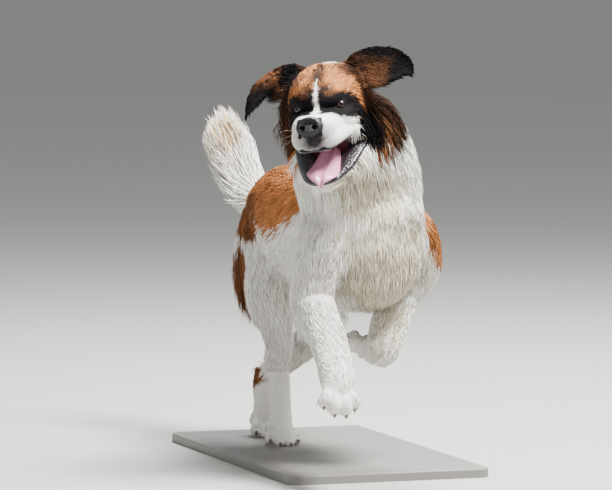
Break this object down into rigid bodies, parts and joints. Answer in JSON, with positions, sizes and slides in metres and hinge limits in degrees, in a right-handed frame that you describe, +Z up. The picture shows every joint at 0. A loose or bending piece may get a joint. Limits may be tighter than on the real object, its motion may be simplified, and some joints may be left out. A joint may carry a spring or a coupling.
{
  "type": "saint bernard dog model on a display base",
  "caption": "Life-size still model of a long-coated Saint Bernard bounding forward with its mouth open, on a plain flat base.",
  "frame": {"origin": "centre of the base's underside", "axes": "+Z up, -Y the way the dog's body faces, +X the dog's left side"},
  "size_m": [0.5753, 1.261, 1.0634],
  "materials": {
    "white_coat": "long soft coat, matt",
    "rust_coat": "long soft coat, matt",
    "dark_coat": "soft short coat, matt",
    "nose_leather": "moist, satin",
    "tongue_skin": "moist, satin",
    "eye_glass": "polished",
    "painted_wood": "matt paint"
  },
  "bodies": {
    "root": {"head": "rust_coat", "lower_jaw": "white_coat", "neck": "white_coat", "torso": "white_coat", "tail": "white_coat", "foreleg_left": "white_coat", "foreleg_right": "white_coat", "hindleg_left": "white_coat", "hindleg_right": "white_coat", "ear_left": "dark_coat", "ear_right": "dark_coat", "eye_left": "eye_glass", "eye_right": "eye_glass", "nose": "nose_leather", "tongue": "tongue_skin", "stand_base": "painted_wood"}
  },
  "joints": []
}
